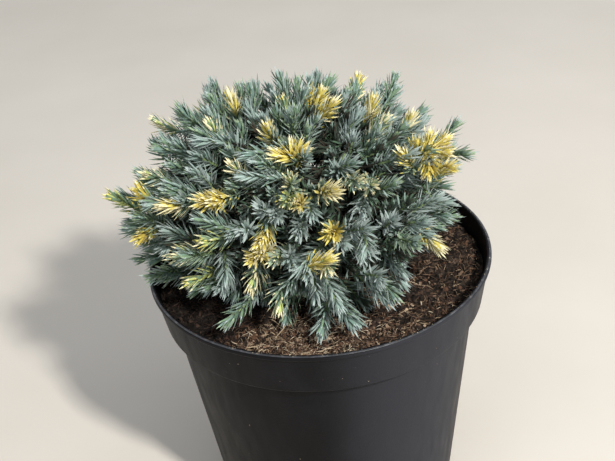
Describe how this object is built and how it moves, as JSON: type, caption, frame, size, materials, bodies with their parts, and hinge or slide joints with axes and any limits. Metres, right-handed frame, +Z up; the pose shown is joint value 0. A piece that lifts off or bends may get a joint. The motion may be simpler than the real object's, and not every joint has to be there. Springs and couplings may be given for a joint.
{
  "type": "potted dwarf conifer",
  "caption": "Cushion-shaped dwarf conifer with short blue-grey needled shoots, some of them pale yellow, growing in a round black nursery pot filled with compost.",
  "frame": {"origin": "centre of the pot's flat underside, on the surface that the plant stands on", "axes": "+Z up out of the pot; -Y towards the side that the picture shows; +X to the right of that side"},
  "size_m": [0.2079, 0.1948, 0.2394],
  "materials": {
    "pot": "satin",
    "compost": "matte",
    "bark": "matte",
    "foliage": "matte"
  },
  "bodies": {
    "root": {"pot": "pot", "compost": "compost", "stem": "bark", "bough_lower_01": "bark", "bough_lower_02": "bark", "bough_lower_03": "bark", "bough_lower_04": "bark", "bough_lower_05": "bark", "bough_lower_06": "bark", "bough_lower_07": "bark", "bough_lower_08": "bark", "bough_middle_01": "bark", "bough_middle_02": "bark", "bough_middle_03": "bark", "bough_middle_04": "bark", "bough_middle_05": "bark", "bough_middle_06": "bark", "foliage_lower_01": "foliage", "foliage_lower_02": "foliage", "foliage_lower_03": "foliage", "foliage_lower_04": "foliage", "foliage_lower_05": "foliage", "foliage_lower_06": "foliage", "foliage_lower_07": "foliage", "foliage_lower_08": "foliage", "foliage_middle_01": "foliage", "foliage_middle_02": "foliage", "foliage_middle_03": "foliage", "foliage_middle_04": "foliage", "foliage_middle_05": "foliage", "foliage_middle_06": "foliage", "foliage_top_01": "foliage"}
  },
  "joints": []
}
